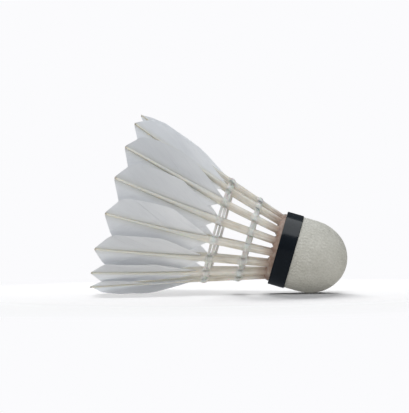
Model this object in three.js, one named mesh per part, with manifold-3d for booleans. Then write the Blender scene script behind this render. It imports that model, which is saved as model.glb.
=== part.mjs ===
// Feather badminton shuttlecock, lying at rest on its cork dome and the rim of its crown.
// Millimetres, +Z up, resting plane z = 0. The cork end points towards +X and dips; the feather tips point towards -X.
// Inside the shuttle's own group, local +X runs along the axis towards the nose, so a station u mm from the cork's flat top
// towards the tips is at x = -u. Angle theta goes round the axis from the top (0) over the -Y side (90) to the bottom (180).
import * as THREE from "three";
import { mergeVertices } from "three/addons/utils/BufferGeometryUtils.js";
import Module from "manifold-3d";

// ---- driving dimensions (mm, degrees) ----
const FEATHERS = 16; // laws of badminton
const FIRST_FEATHER_DEG = 11.25; // angle of feather 01; the rest follow every 22.5 degrees
const TIP_STATION = 60.0; // feather tips, measured along the axis from the cork's top face
const ROOT_STATION = -8.6; // how deep the quills sit in the cork
const ROOT_CIRCLE_R = 10.4; // quill centres at the cork's top face
const STEM_SLOPE = 0.34; // radius gained per mm of axis, cork to upper thread ring
const CROWN_SLOPE = 0.393; // the same from the upper thread ring to the tips: circle of tips is 65.6 mm across
const LEAN_DEG = -3.1; // how far each tip is turned about the axis against its own root
const RING_LOWER = 10.6; // thread ring nearer the cork
const RING_UPPER = 22.1; // thread ring at the foot of the vanes
const RING_HALF = 1.5; // half length of a thread binding round a quill
const STRAND_W = 1.08; // a glued thread strand, along the axis
const STRAND_T = 1.0; // the same, radially
const BINDING = 0.45; // thread and glue round a quill
const VANE_T = 0.3; // vane thickness
const LEAD_SLOPE = [[0, 0.19], [3, 0.2], [5.7, 0.225], [9, 0.3], [12, 0.315], [37, 0.315]]; // leading web rises outwards from the shaft, by distance from the tip
const TRAIL_SLOPE = 0.215; // trailing web falls inwards from the shaft
const CAMBER = 0.0047; // webs curl back to the crown: offset = CAMBER * width^2
const CORK_R = 13.1; // leather surface of the cork's straight side
const DOME_START = 10.8; // below the cork's top face
const DOME_H = 14.7; // dome height, so the cork is 25.5 mm tall
const LEATHER_T = 0.55;
const BAND_R = 13.5;
const BAND_W = 6.0;
const LABEL_R = 7.6;
const LABEL_T = 0.2;
const GLUE_IN = 8.5;
const GLUE_OUT = 12.35;
const GLUE_H = 1.9;
const FIT = 0.05; // clearance between touching pieces
const ROUND = 32; // facets round the cork
const QUILL_SIDES = 8;

// half width (round the ring) and half depth (radial) of a shaft at stations u
const SHAFT = [
  [ROOT_STATION, 0.85, 0.9],
  [0, 1.25, 1.36],
  [10.6, 1.35, 1.44],
  [22.1, 1.34, 1.44],
  [28, 1.12, 1.3],
  [36, 0.9, 1.08],
  [45, 0.72, 0.85],
  [53, 0.58, 0.64],
  [TIP_STATION + 0.15, 0.4, 0.42],
];
// width of each web from the shaft's centre line, by axial distance from the tip
const LEAD_WEB = [
  [0, 0.95], [1.8, 3.3], [3.6, 5.7], [5.7, 7.1], [9, 7.8], [16, 8.2],
  [22.5, 8.0], [27.3, 6.9], [30.6, 4.9], [33.3, 2.7], [36.3, 1.85],
];
const TRAIL_WEB = [
  [0, 0.95], [1.8, 3.6], [3.6, 6.8], [5.7, 8.1], [9, 8.4], [16, 8.25],
  [22.5, 7.5], [27.3, 6.7], [30.6, 5.6], [33.3, 4.9], [36.3, 2.3],
];

const wasm = await Module();
wasm.setup();
const rad = THREE.MathUtils.degToRad;

function at(table, x, col = 1) {
  for (let i = 1; i < table.length; i++)
    if (x <= table[i][0] || i === table.length - 1) {
      const [a, b] = [table[i - 1], table[i]];
      const f = Math.min(1, Math.max(0, (x - a[0]) / (b[0] - a[0])));
      return a[col] + f * (b[col] - a[col]);
    }
}

// ---- the quill line: where a feather's shaft runs ----
const quillR = (u) =>
  u <= RING_UPPER
    ? ROOT_CIRCLE_R + STEM_SLOPE * u
    : ROOT_CIRCLE_R + STEM_SLOPE * RING_UPPER + CROWN_SLOPE * (u - RING_UPPER);
const quillTheta = (k, u) =>
  rad(
    FIRST_FEATHER_DEG +
      (360 / FEATHERS) * k +
      LEAN_DEG * Math.max(0, (u - RING_UPPER) / (TIP_STATION - RING_UPPER)),
  );
// point p mm from the shaft's centre towards the leading side and q mm outwards, in the plane of station u
function place(k, u, p, q) {
  const th = quillTheta(k, u),
    r = quillR(u) + q,
    s = Math.sin(th),
    c = Math.cos(th);
  return new THREE.Vector3(-u, -r * s + p * c, r * c + p * s);
}

// ---- solids ----
function meshGeometry(points, tris) {
  const g = new THREE.BufferGeometry();
  g.setAttribute("position", new THREE.BufferAttribute(new Float32Array(points.flatMap((v) => [v.x, v.y, v.z])), 3));
  let volume = 0;
  for (let i = 0; i < tris.length; i += 3) {
    const [a, b, c] = [points[tris[i]], points[tris[i + 1]], points[tris[i + 2]]];
    volume += a.dot(new THREE.Vector3().crossVectors(b, c));
  }
  if (volume < 0) for (let i = 0; i < tris.length; i += 3) [tris[i + 1], tris[i + 2]] = [tris[i + 2], tris[i + 1]];
  g.setIndex(tris);
  const flat = g.toNonIndexed();
  flat.computeVertexNormals();
  return flat;
}

// closed solid through a list of rings with the same number of points
function loft(rings) {
  const n = rings[0].length,
    points = rings.flat(),
    tris = [];
  for (let j = 0; j + 1 < rings.length; j++)
    for (let i = 0; i < n; i++) {
      const a = j * n + i,
        b = j * n + ((i + 1) % n);
      tris.push(a, b, b + n, a, b + n, a + n);
    }
  const end = (rings.length - 1) * n;
  for (let i = 1; i + 1 < n; i++) {
    tris.push(0, i + 1, i);
    tris.push(end, end + i, end + i + 1);
  }
  return meshGeometry(points, tris);
}

// closed thin sheet: rows of [outer point, inner point] pairs
function sheet(rows) {
  const n = rows[0].length,
    m = rows.length,
    points = [],
    tris = [];
  for (const side of [0, 1]) for (const row of rows) for (const pair of row) points.push(pair[side]);
  const id = (side, j, i) => side * m * n + j * n + i;
  const quad = (a, b, c, d) => tris.push(a, b, c, a, c, d);
  for (let j = 0; j + 1 < m; j++)
    for (let i = 0; i + 1 < n; i++) {
      quad(id(0, j, i), id(0, j, i + 1), id(0, j + 1, i + 1), id(0, j + 1, i));
      quad(id(1, j, i), id(1, j + 1, i), id(1, j + 1, i + 1), id(1, j, i + 1));
    }
  for (let j = 0; j + 1 < m; j++) {
    quad(id(0, j, 0), id(0, j + 1, 0), id(1, j + 1, 0), id(1, j, 0));
    quad(id(0, j, n - 1), id(1, j, n - 1), id(1, j + 1, n - 1), id(0, j + 1, n - 1));
  }
  for (let i = 0; i + 1 < n; i++) {
    quad(id(0, 0, i), id(1, 0, i), id(1, 0, i + 1), id(0, 0, i + 1));
    quad(id(0, m - 1, i), id(0, m - 1, i + 1), id(1, m - 1, i + 1), id(1, m - 1, i));
  }
  return meshGeometry(points, tris);
}

// solid of revolution about the shuttle's axis; profile of [distance below the cork's top face, radius]
function turned(profile, facets = ROUND) {
  const g = new THREE.LatheGeometry(profile.map(([x, r]) => new THREE.Vector2(r, x)), facets);
  g.rotateZ(-Math.PI / 2); // lathe axis y becomes local +x
  return g;
}

function solid(geometry) {
  const g = geometry.clone();
  g.deleteAttribute("normal");
  g.deleteAttribute("uv");
  const merged = mergeVertices(g, 1e-4);
  const made = new wasm.Manifold(
    new wasm.Mesh({
      numProp: 3,
      vertProperties: merged.attributes.position.array,
      triVerts: new Uint32Array(merged.index.array),
    }),
  );
  if (made.volume() >= 0) return made;
  const turnedRound = new Uint32Array(merged.index.array);
  for (let i = 0; i < turnedRound.length; i += 3)
    [turnedRound[i + 1], turnedRound[i + 2]] = [turnedRound[i + 2], turnedRound[i + 1]];
  return new wasm.Manifold(
    new wasm.Mesh({ numProp: 3, vertProperties: merged.attributes.position.array, triVerts: turnedRound }),
  );
}

function geometryOf(made) {
  const m = made.getMesh(),
    pos = new Float32Array(m.numVert * 3);
  for (let i = 0; i < m.numVert; i++) pos.set(m.vertProperties.subarray(i * m.numProp, i * m.numProp + 3), i * 3);
  const g = new THREE.BufferGeometry()
    .setAttribute("position", new THREE.BufferAttribute(pos, 3))
    .setIndex(new THREE.BufferAttribute(m.triVerts, 1));
  const flat = g.toNonIndexed();
  flat.computeVertexNormals();
  return flat;
}

// an eight-sided ring round the quill line of feather k at station u, grown by extra
function quillRing(k, u, extra = 0) {
  const hw = at(SHAFT, u, 1) + extra,
    hd = at(SHAFT, u, 2) + extra,
    ring = [];
  for (let i = 0; i < QUILL_SIDES; i++) {
    const a = ((i + 0.5) / QUILL_SIDES) * 2 * Math.PI;
    ring.push(place(k, u, hw * Math.cos(a), hd * Math.sin(a)));
  }
  return ring;
}
const shaftSolid = (k, extra, from, to) => {
  const stations = SHAFT.map((s) => s[0]).filter((u) => u > from && u < to);
  return loft([from, ...stations, to].map((u) => quillRing(k, u, extra)));
};

// the vane: two webs joined by a shallow channel that passes inside the shaft
function vaneSolid(k) {
  const rows = LEAD_WEB.map(([d], j) => {
    const u = TIP_STATION - d;
    const wall = at(SHAFT, u, 1) + FIT + VANE_T / 2;
    const floor = -(at(SHAFT, u, 2) + FIT + VANE_T / 2);
    const lead = Math.max(LEAD_WEB[j][1], wall + 0.5);
    const trail = Math.max(TRAIL_WEB[j][1], wall + 0.5);
    const leadMid = wall + (lead - wall) * 0.5;
    const rise = at(LEAD_SLOPE, d);
    const mid = [
      [lead, rise * lead - CAMBER * lead * lead],
      [leadMid, rise * leadMid - CAMBER * leadMid * leadMid],
      [wall, rise * wall],
      [wall, floor],
      [-wall, floor],
      [-wall, -TRAIL_SLOPE * wall],
      [-trail, -TRAIL_SLOPE * trail - CAMBER * trail * trail],
    ];
    // mitred offsets to both sides of the section's middle line
    return mid.map(([p, q], i) => {
      const normals = [];
      if (i > 0) normals.push([q - mid[i - 1][1], -(p - mid[i - 1][0])]);
      if (i + 1 < mid.length) normals.push([mid[i + 1][1] - q, -(mid[i + 1][0] - p)]);
      for (const v of normals) {
        const l = Math.hypot(v[0], v[1]);
        v[0] /= l;
        v[1] /= l;
      }
      const n = normals.length === 2 ? [normals[0][0] + normals[1][0], normals[0][1] + normals[1][1]] : normals[0];
      const l = Math.hypot(n[0], n[1]);
      const along = (n[0] * normals[0][0] + n[1] * normals[0][1]) / l;
      const f = VANE_T / 2 / Math.max(0.5, along) / l;
      return [place(k, u, p + n[0] * f, q + n[1] * f), place(k, u, p - n[0] * f, q - n[1] * f)];
    });
  });
  return sheet(rows);
}

// a thread ring: a glued binding round every quill and strands from quill to quill, centred at the given offsets
function threadRing(station, strandOffsets, strandW) {
  const parts = [];
  for (let k = 0; k < FEATHERS; k++) {
    parts.push(solid(loft([station - RING_HALF, station + RING_HALF].map((u) => quillRing(k, u, BINDING)))));
    for (const offset of strandOffsets) {
      const u = station + offset;
      const ends = [k, k + 1].map((n) => {
        const q = 0.2;
        return [
          place(n, u - strandW / 2, 0, q - STRAND_T / 2),
          place(n, u + strandW / 2, 0, q - STRAND_T / 2),
          place(n, u + strandW / 2, 0, q + STRAND_T / 2),
          place(n, u - strandW / 2, 0, q + STRAND_T / 2),
        ];
      });
      parts.push(solid(loft(ends)));
    }
  }
  let ring = parts[0];
  for (const p of parts.slice(1)) ring = ring.add(p);
  for (let k = 0; k < FEATHERS; k++) ring = ring.subtract(solid(shaftSolid(k, FIT, station - 3, station + 3)));
  return geometryOf(ring);
}

// ---- the cork, its leather and its band ----
const domeRadius = (x, r, shrink) => {
  const h = DOME_H - shrink;
  const t = Math.min(1, Math.max(0, (x - DOME_START) / h));
  return r * Math.sqrt(Math.max(0, 1 - Math.pow(t, 2.06)));
};
const DOME_STEPS = [0, 0.18, 0.36, 0.52, 0.66, 0.78, 0.88, 0.95, 0.985, 1];
const HIDDEN_STEPS = [0, 0.36, 0.66, 0.88, 0.985, 1];
function domeProfile(r, shrink, top, steps) {
  const list = [[top, r]];
  for (const s of steps) {
    const x = DOME_START + s * (DOME_H - shrink);
    list.push([x, s === 1 ? 0 : domeRadius(x, r, shrink)]);
  }
  return list;
}
const leatherOut = domeProfile(CORK_R, 0, 0.1, DOME_STEPS);
const leatherIn = domeProfile(CORK_R - LEATHER_T, LEATHER_T, 0.1, HIDDEN_STEPS);
const corkProfile = domeProfile(CORK_R - LEATHER_T - FIT, LEATHER_T + FIT, 0, HIDDEN_STEPS);

const slots = {
  cork: 0xb98f63,
  leather: 0xdcdad4,
  ribbon: 0x161d24,
  paper: 0xe9e8e4,
  glue: 0xd9cbb4,
  quill: 0xd8d2c3,
  feather: 0xeceff2,
  thread: 0xf1f0ec,
};
function piece(name, geometry, slot) {
  const mesh = new THREE.Mesh(
    geometry,
    new THREE.MeshStandardMaterial({ color: slots[slot], roughness: 0.6, metalness: 0 }),
  );
  mesh.name = name;
  return mesh;
}

const holes = [];
for (let k = 0; k < FEATHERS; k++) holes.push(solid(shaftSolid(k, FIT, ROOT_STATION - FIT, 4)));

const base = new THREE.Group();
base.name = "base";
let core = solid(turned([[0, 0], ...corkProfile]));
for (const h of holes) core = core.subtract(h);
base.add(piece("cork_core", geometryOf(core), "cork"));
base.add(piece("leather_cover", turned([...leatherOut, ...leatherIn.slice().reverse(), leatherOut[0]]), "leather"));
base.add(
  piece(
    "ribbon_band",
    turned([[0, CORK_R + FIT], [0, BAND_R - 0.08], [0.12, BAND_R], [BAND_W - 0.12, BAND_R], [BAND_W, BAND_R - 0.08], [BAND_W, CORK_R + FIT], [0, CORK_R + FIT]]),
    "ribbon",
  ),
);
base.add(piece("top_label", turned([[-FIT - LABEL_T, 0], [-FIT - LABEL_T, LABEL_R], [-FIT, LABEL_R], [-FIT, 0]]), "paper"));
let glue = solid(
  turned([[-FIT, GLUE_IN], [-FIT, GLUE_OUT], [-GLUE_H, GLUE_OUT - 0.3], [-GLUE_H, GLUE_IN + 0.5], [-FIT, GLUE_IN]], FEATHERS),
);
for (const h of holes) glue = glue.subtract(h);
base.add(piece("glue_ring", geometryOf(glue), "glue"));

const crown = new THREE.Group();
crown.name = "crown";
for (let k = 0; k < FEATHERS; k++) {
  const feather = new THREE.Group();
  const label = "feather_" + String(k + 1).padStart(2, "0");
  feather.name = label;
  feather.add(piece(label + "_shaft", shaftSolid(k, 0, ROOT_STATION, TIP_STATION + 0.15), "quill"));
  feather.add(piece(label + "_vane", vaneSolid(k), "feather"));
  crown.add(feather);
}
const threads = new THREE.Group();
threads.name = "threads";
threads.add(piece("thread_ring_lower", threadRing(RING_LOWER, [0], 2.1 * STRAND_W), "thread")); // its two strands are glued together
threads.add(piece("thread_ring_upper", threadRing(RING_UPPER, [-0.81, 0.81], STRAND_W), "thread"));
crown.add(threads);

// ---- the resting attitude: dome and rim both on z = 0 ----
const shuttle = new THREE.Group();
shuttle.name = "shuttle";
shuttle.add(base, crown);
const lowest = (o) => new THREE.Box3().setFromObject(o, true).min.z;
let flat = 5,
  steep = 30;
for (let i = 0; i < 40; i++) {
  const tilt = (flat + steep) / 2;
  shuttle.rotation.set(0, rad(tilt), 0);
  shuttle.updateMatrixWorld(true);
  if (lowest(base) > lowest(crown)) flat = tilt;
  else steep = tilt;
}
const REST_TILT = (flat + steep) / 2; // the nose end dips by this many degrees
shuttle.rotation.set(0, rad(REST_TILT), 0);
shuttle.updateMatrixWorld(true);
const box = new THREE.Box3().setFromObject(shuttle, true);
const middle = box.getCenter(new THREE.Vector3());
shuttle.position.set(-middle.x, -middle.y, -box.min.z);

const group = new THREE.Group();
group.name = "shuttlecock";
group.add(shuttle);
group.userData = { rest_tilt_deg: REST_TILT, offset: shuttle.position.toArray() };

export default group;
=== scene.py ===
import math

import bpy
import numpy as np
from mathutils import Matrix, Vector

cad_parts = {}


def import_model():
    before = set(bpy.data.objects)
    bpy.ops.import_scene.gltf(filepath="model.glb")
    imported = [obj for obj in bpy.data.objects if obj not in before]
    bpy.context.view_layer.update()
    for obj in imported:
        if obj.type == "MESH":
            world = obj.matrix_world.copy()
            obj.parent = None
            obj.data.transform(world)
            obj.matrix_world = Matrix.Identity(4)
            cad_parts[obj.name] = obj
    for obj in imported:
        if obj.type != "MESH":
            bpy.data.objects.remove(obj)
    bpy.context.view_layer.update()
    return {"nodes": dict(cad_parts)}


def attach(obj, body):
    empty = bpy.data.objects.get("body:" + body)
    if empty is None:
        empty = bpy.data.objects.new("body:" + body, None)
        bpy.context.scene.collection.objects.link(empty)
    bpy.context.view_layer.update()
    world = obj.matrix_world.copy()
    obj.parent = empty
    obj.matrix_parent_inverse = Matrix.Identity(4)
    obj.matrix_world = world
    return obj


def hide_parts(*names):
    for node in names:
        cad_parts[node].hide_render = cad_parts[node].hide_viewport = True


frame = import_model()

# ---------------------------------------------------------------- dimensions, as in the CAD
TILT = math.radians(16.612953809196824)
OFFSET = np.array([21.070189731750997, 0.0, 16.364028204998892])
FEATHERS = 16
TIP = 60.0
ROOT = -8.6
ROOT_R, STEM, CROWN, LEAN = 10.4, 0.34, 0.393, -3.1
RING_LOWER, RING_UPPER = 10.6, 22.1
CORK_R, DOME_START, DOME_H, LEATHER_T = 13.1, 10.8, 14.7, 0.55
BAND_R, BAND_W = 13.5, 6.0
LABEL_R = 7.6
SHAFT_U = np.array([ROOT, 0, 10.6, 22.1, 28, 36, 45, 53, TIP + 0.15])
SHAFT_D = np.array([0.9, 1.36, 1.44, 1.44, 1.3, 1.08, 0.85, 0.64, 0.42])

# small differences from feather to feather: turn of the tip (deg), length (mm), spread (mm) and web width (factor)
rng = np.random.default_rng(20)
TIP_TURN = rng.uniform(-0.7, 0.7, FEATHERS)
TIP_TURN[:8] = [0.1, 0.0, 0.8, 0.0, -0.3, 1.0, -0.8, 0.1]
TIP_LONG = rng.uniform(-0.25, 0.3, FEATHERS)
TIP_LONG[:8] = [0.0, 0.1, 0.0, 0.0, -0.25, 0.35, 0.15, 0.35]
TIP_OUT = rng.uniform(-0.25, 0.15, FEATHERS)
TIP_OUT[:8] = [-0.3, 0.0, 0.0, 0.0, 0.0, 0.0, 0.0, -0.2]
LEAD_F = 1 + rng.uniform(-0.02, 0.02, FEATHERS)
TRAIL_F = 1 + rng.uniform(-0.03, 0.02, FEATHERS)
TWIST = rng.uniform(-0.012, 0.012, FEATHERS)
LOW_LEAD = rng.uniform(-0.4, 0.6, FEATHERS)  # how much further the leading web runs towards the binding (mm)
LOW_LEAD[:6] = [1.6, 1.6, 2.0, 0.6, 0.1, 0.0]
# tone of each web: a little random, and for the first eight feathers set darker or lighter one by one as painted shade
# (below 1) and painted light (above 1)
LEAD_TONE_AND_SHADE = 1 - rng.uniform(0.0, 0.05, FEATHERS)
LEAD_TONE_AND_SHADE[:8] = [1.0, 0.98, 0.92, 0.96, 1.0, 0.94, 0.93, 1.0]
TRAIL_TONE_AND_LIGHT = 1 - rng.uniform(0.0, 0.05, FEATHERS)
TRAIL_TONE_AND_LIGHT[:8] = [1.0, 1.0, 1.0, 1.0, 1.0, 1.0, 1.04, 1.04]
# the two feathers that rest on the floor are pushed, so their webs near the tip stand at another slope
TIP_SLOPE_LEAD = {7: -0.25, 8: -0.03}
TIP_SLOPE_TRAIL = {6: 0.085}


def to_row(p):
    p = np.asarray(p, float)
    c, s = math.cos(TILT), math.sin(TILT)
    x, y, z = p[..., 0], p[..., 1], p[..., 2]
    return (np.stack([x * c + z * s, y, -x * s + z * c], -1) + OFFSET) * 0.001


def smooth(t):
    t = np.clip(t, 0, 1)
    return t * t * (3 - 2 * t)


def quill_r(u, k=None):
    u = np.asarray(u, float)
    # the bend at the upper ring is spread over a few millimetres, as a quill bends
    soft = 3.0
    x = np.clip((u - RING_UPPER + soft) / (2 * soft), 0, 1)
    extra = np.where(u > RING_UPPER + soft, u - RING_UPPER, soft * x * x)
    r = ROOT_R + STEM * u + (CROWN - STEM) * extra
    if k is not None:
        r = r + TIP_OUT[k] * smooth((u - RING_UPPER) / (TIP - RING_UPPER))
    return r


def quill_theta(u, k):
    u = np.asarray(u, float)
    f = np.maximum(0, (u - RING_UPPER) / (TIP - RING_UPPER))
    return np.radians(11.25 + 22.5 * k + LEAN * f + TIP_TURN[k] * f * f)


def place(k, u, p, q):
    """Point p mm towards the leading side and q mm outwards of feather k's shaft line, at station u."""
    th, r = quill_theta(u, k), quill_r(u, k) + q
    s, c = np.sin(th), np.cos(th)
    return np.stack(np.broadcast_arrays(-np.asarray(u, float), -r * s + p * c, r * c + p * s), -1)


SLIM_U = np.array([ROOT, 0, 10.6, 22.1, 27, 33, 40, 48, 55, TIP + 0.15])
SLIM_W = np.array([0.85, 1.25, 1.35, 1.32, 1.14, 0.88, 0.68, 0.55, 0.48, 0.46])


def shaft_w(u):
    return np.interp(u, SLIM_U, SLIM_W)


def shaft_d(u):
    return np.interp(u, SHAFT_U, SHAFT_D)


# ---------------------------------------------------------------- mesh code
def grid_faces(m, n, start=0, wrap=False, flip=False):
    j, i = np.meshgrid(np.arange(m - 1), np.arange(n if wrap else n - 1), indexing="ij")
    a = start + j * n + i
    b = start + j * n + (i + 1) % n
    quads = np.stack([a, b, b + n, a + n], -1).reshape(-1, 4)
    return quads[:, ::-1] if flip else quads


def shell(top, bottom):
    """Closed thin shell between two grids of points with the same shape."""
    m, n = top.shape[:2]
    v = np.concatenate([top.reshape(-1, 3), bottom.reshape(-1, 3)])
    h = m * n
    q = [grid_faces(m, n), grid_faces(m, n, h, flip=True)]
    j = np.arange(m - 1)
    for col, rev in ((0, False), (n - 1, True)):
        a, b = j * n + col, (j + 1) * n + col
        w = np.stack([a, b, b + h, a + h], -1)
        q.append(w[:, ::-1] if rev else w)
    i = np.arange(n - 1)
    for row, rev in ((0, True), (m - 1, False)):
        a, b = row * n + i, row * n + i + 1
        w = np.stack([a, b, b + h, a + h], -1)
        q.append(w[:, ::-1] if rev else w)
    return v, np.concatenate(q), np.zeros((0, 3), int)


def tube(rings, closed=False):
    """Closed solid through rings (m, n, 3). closed joins the last ring to the first; otherwise fan caps close the ends."""
    m, n = rings.shape[:2]
    v = rings.reshape(-1, 3)
    q = [grid_faces(m, n, wrap=True)]
    t = np.zeros((0, 3), int)
    if closed:
        i = np.arange(n)
        a, b = (m - 1) * n + i, (m - 1) * n + (i + 1) % n
        q.append(np.stack([a, b, (i + 1) % n, i], -1))
    else:
        v = np.concatenate([v, rings[0].mean(0)[None], rings[-1].mean(0)[None]])
        i = np.arange(n)
        t = np.concatenate(
            [
                np.stack([(i + 1) % n, i, np.full(n, m * n)], -1),
                np.stack([(m - 1) * n + i, (m - 1) * n + (i + 1) % n, np.full(n, m * n + 1)], -1),
            ]
        )
    return v, np.concatenate(q), t


def join(parts):
    vs, qs, ts, o = [], [], [], 0
    for v, q, t in parts:
        vs.append(v)
        qs.append(q + o)
        ts.append(t + o)
        o += len(v)
    return np.concatenate(vs), np.concatenate(qs), np.concatenate(ts)


def signed_volume(v, q, t):
    tri = np.concatenate([q[:, [0, 1, 2]], q[:, [0, 2, 3]], t])
    a, b, c = v[tri[:, 0]], v[tri[:, 1]], v[tri[:, 2]]
    return float(np.einsum("ij,ij->i", a, np.cross(b, c)).sum())


def outward(part):
    v, q, t = part
    return (v, q[:, ::-1], t[:, ::-1]) if signed_volume(v - v.mean(0), q, t) < 0 else part


PIECES = {}


def make(name, part, material, node=None, sharp=None, attributes=None, row=False):
    """A new piece from closed shells in the shuttle's axes."""
    v, q, t = part
    v = v if row else to_row(v)
    me = bpy.data.meshes.new(name)
    me.vertices.add(len(v))
    me.vertices.foreach_set("co", v.astype(np.float32).ravel())
    me.loops.add(len(q) * 4 + len(t) * 3)
    me.loops.foreach_set("vertex_index", np.concatenate([q.ravel(), t.ravel()]).astype(np.int32))
    me.polygons.add(len(q) + len(t))
    me.polygons.foreach_set(
        "loop_start", np.concatenate([np.arange(len(q)) * 4, len(q) * 4 + np.arange(len(t)) * 3]).astype(np.int32)
    )
    me.update(calc_edges=True)
    me.polygons.foreach_set("use_smooth", np.ones(len(me.polygons), bool))
    if sharp:
        me.set_sharp_from_angle(angle=math.radians(sharp))
    for key, values in (attributes or {}).items():
        a = me.attributes.new(key, "FLOAT", "POINT")
        a.data.foreach_set("value", np.asarray(values, np.float32))
    me.validate()
    o = bpy.data.objects.new(name, me)
    bpy.context.scene.collection.objects.link(o)
    me.materials.append(material)
    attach(o, "root")
    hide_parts(node or name)
    PIECES[name] = o
    return o


# ---------------------------------------------------------------- materials
class Nodes:
    """A short way to write a material's node tree."""

    def __init__(self, name):
        self.mat = bpy.data.materials.new(name)
        self.mat.use_nodes = True
        self.t = self.mat.node_tree
        self.t.nodes.clear()
        self.out = self.add("ShaderNodeOutputMaterial")

    def add(self, kind, **kw):
        n = self.t.nodes.new(kind)
        for key, val in kw.items():
            setattr(n, key, val)
        return n

    def link(self, a, b):
        self.t.links.new(a, b)

    def put(self, socket, value):
        if hasattr(value, "is_output") or isinstance(value, bpy.types.NodeSocket):
            self.link(value, socket)
        else:
            socket.default_value = value

    def attr(self, name):
        return self.add("ShaderNodeAttribute", attribute_name=name).outputs["Fac"]

    def coord(self):
        return self.add("ShaderNodeTexCoord").outputs["Object"]

    def math(self, op, a, b=0.0, clamp=False):
        n = self.add("ShaderNodeMath", operation=op, use_clamp=clamp)
        self.put(n.inputs[0], a)
        self.put(n.inputs[1], b)
        return n.outputs[0]

    def combine(self, x, y, z):
        n = self.add("ShaderNodeCombineXYZ")
        for i, v in enumerate((x, y, z)):
            self.put(n.inputs[i], v)
        return n.outputs[0]

    def noise(self, vector, scale, detail=2.0, rough=0.5):
        n = self.add("ShaderNodeTexNoise")
        self.put(n.inputs["Vector"], vector)
        n.inputs["Scale"].default_value = scale
        n.inputs["Detail"].default_value = detail
        n.inputs["Roughness"].default_value = rough
        return n.outputs["Fac"]

    def voronoi(self, vector, scale, feature="F1", rand=1.0):
        n = self.add("ShaderNodeTexVoronoi", feature=feature)
        self.put(n.inputs["Vector"], vector)
        n.inputs["Scale"].default_value = scale
        n.inputs["Randomness"].default_value = rand
        return n.outputs["Distance"]

    def ramp(self, fac, stops):
        n = self.add("ShaderNodeValToRGB")
        self.put(n.inputs["Fac"], fac)
        e = n.color_ramp.elements
        e[0].position, e[0].color = stops[0][0], (*stops[0][1], 1)
        e[1].position, e[1].color = stops[-1][0], (*stops[-1][1], 1)
        for pos, col in stops[1:-1]:
            x = e.new(pos)
            x.color = (*col, 1)
        return n.outputs["Color"]

    def noise_warp(self, vector, scale, amount):
        n = self.add("ShaderNodeTexNoise")
        self.put(n.inputs["Vector"], vector)
        n.inputs["Scale"].default_value = scale
        n.inputs["Detail"].default_value = 1.0
        push = self.add("ShaderNodeVectorMath", operation="MULTIPLY_ADD")
        self.link(n.outputs["Color"], push.inputs[0])
        push.inputs[1].default_value = (amount, amount, amount)
        self.put(push.inputs[2], vector)
        return push.outputs[0]

    def mapped(self, value, a, b, c, d):
        n = self.add("ShaderNodeMapRange")
        n.clamp = True
        self.put(n.inputs["Value"], value)
        for key, v in zip(("From Min", "From Max", "To Min", "To Max"), (a, b, c, d)):
            n.inputs[key].default_value = v
        return n.outputs["Result"]

    def mix(self, fac, a, b, blend="MIX"):
        n = self.add("ShaderNodeMix", data_type="RGBA", blend_type=blend)
        self.put(n.inputs[0], fac)
        self.put(n.inputs[6], a if hasattr(a, "is_output") else (*a, 1))
        self.put(n.inputs[7], b if hasattr(b, "is_output") else (*b, 1))
        return n.outputs[2]

    def bump(self, height, strength, distance, normal=None):
        n = self.add("ShaderNodeBump")
        self.put(n.inputs["Height"], height)
        n.inputs["Strength"].default_value = strength
        n.inputs["Distance"].default_value = distance
        if normal is not None:
            self.put(n.inputs["Normal"], normal)
        return n.outputs["Normal"]

    def principled(self, **kw):
        n = self.add("ShaderNodeBsdfPrincipled")
        for key, val in kw.items():
            self.put(n.inputs[key.replace("_", " ")], val)
        return n


def feather_material():
    m = Nodes("feather_white")
    barb, across, along, which = m.attr("barb"), m.attr("across"), m.attr("along"), m.attr("feather")
    # streaks follow the barbs: each barb has its own tone, which runs out along its length
    fine = m.noise(m.combine(m.math("MULTIPLY", barb, 0.9), m.math("MULTIPLY", across, 0.5), which), 1.0, 2.0, 0.55)
    wide = m.noise(m.combine(m.math("MULTIPLY", barb, 0.10), m.math("MULTIPLY", across, 0.25), which), 1.0, 2.0, 0.5)
    cloud = m.noise(m.coord(), 90.0, 2.0, 0.5)
    tone = m.math("ADD", m.math("MULTIPLY", fine, 0.40), m.math("ADD", m.math("MULTIPLY", wide, 0.4), m.math("MULTIPLY", cloud, 0.2)))
    colour = m.ramp(tone, [(0.30, (0.85, 0.858, 0.878)), (0.5, (0.915, 0.923, 0.937)), (0.70, (0.955, 0.96, 0.97))])
    root = m.mapped(across, 0.4, 2.4, 0.55, 0.0)  # painted shade of the shaft on its webs: a faint horn-coloured darkening where the barbs leave the shaft
    colour = m.mix(root, colour, (0.70, 0.69, 0.63))
    open_ = m.mapped(along, 4.0, 26.0, 0.42, 0.0)  # painted shade: greyer towards the open end, to take down the light that the single layer of barbs there lets through
    colour = m.mix(open_, colour, (0.655, 0.675, 0.705))
    # per-web tone: random variation, plus painted shade and painted light on the first eight feathers
    each = m.attr("tone")
    colour = m.mix(1.0, colour, m.combine(each, each, each), blend="MULTIPLY")
    edge = m.mapped(along, 0.0, 0.8, 0.45, 0.0)  # the cut end is a little darker
    colour = m.mix(edge, colour, (0.50, 0.50, 0.50))
    # barbules: very fine lines across each barb
    hooks = m.noise(m.combine(m.math("MULTIPLY", barb, 5.0), m.math("MULTIPLY", across, 9.0), which), 1.0, 1.0, 0.5)
    normal = m.bump(hooks, 0.25, 0.00004)
    body = m.principled(Base_Color=colour, Roughness=0.60, Normal=normal)
    body.inputs["Specular IOR Level"].default_value = 0.35
    body.inputs["Sheen Weight"].default_value = 0.10
    body.inputs["Sheen Roughness"].default_value = 0.5
    through = m.add("ShaderNodeBsdfTranslucent")
    m.put(through.inputs["Color"], colour)
    m.put(through.inputs["Normal"], normal)
    both = m.add("ShaderNodeMixShader")
    both.inputs[0].default_value = 0.37
    m.link(body.outputs[0], both.inputs[1])
    m.link(through.outputs[0], both.inputs[2])
    m.link(both.outputs[0], m.out.inputs["Surface"])
    return m.mat


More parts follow.
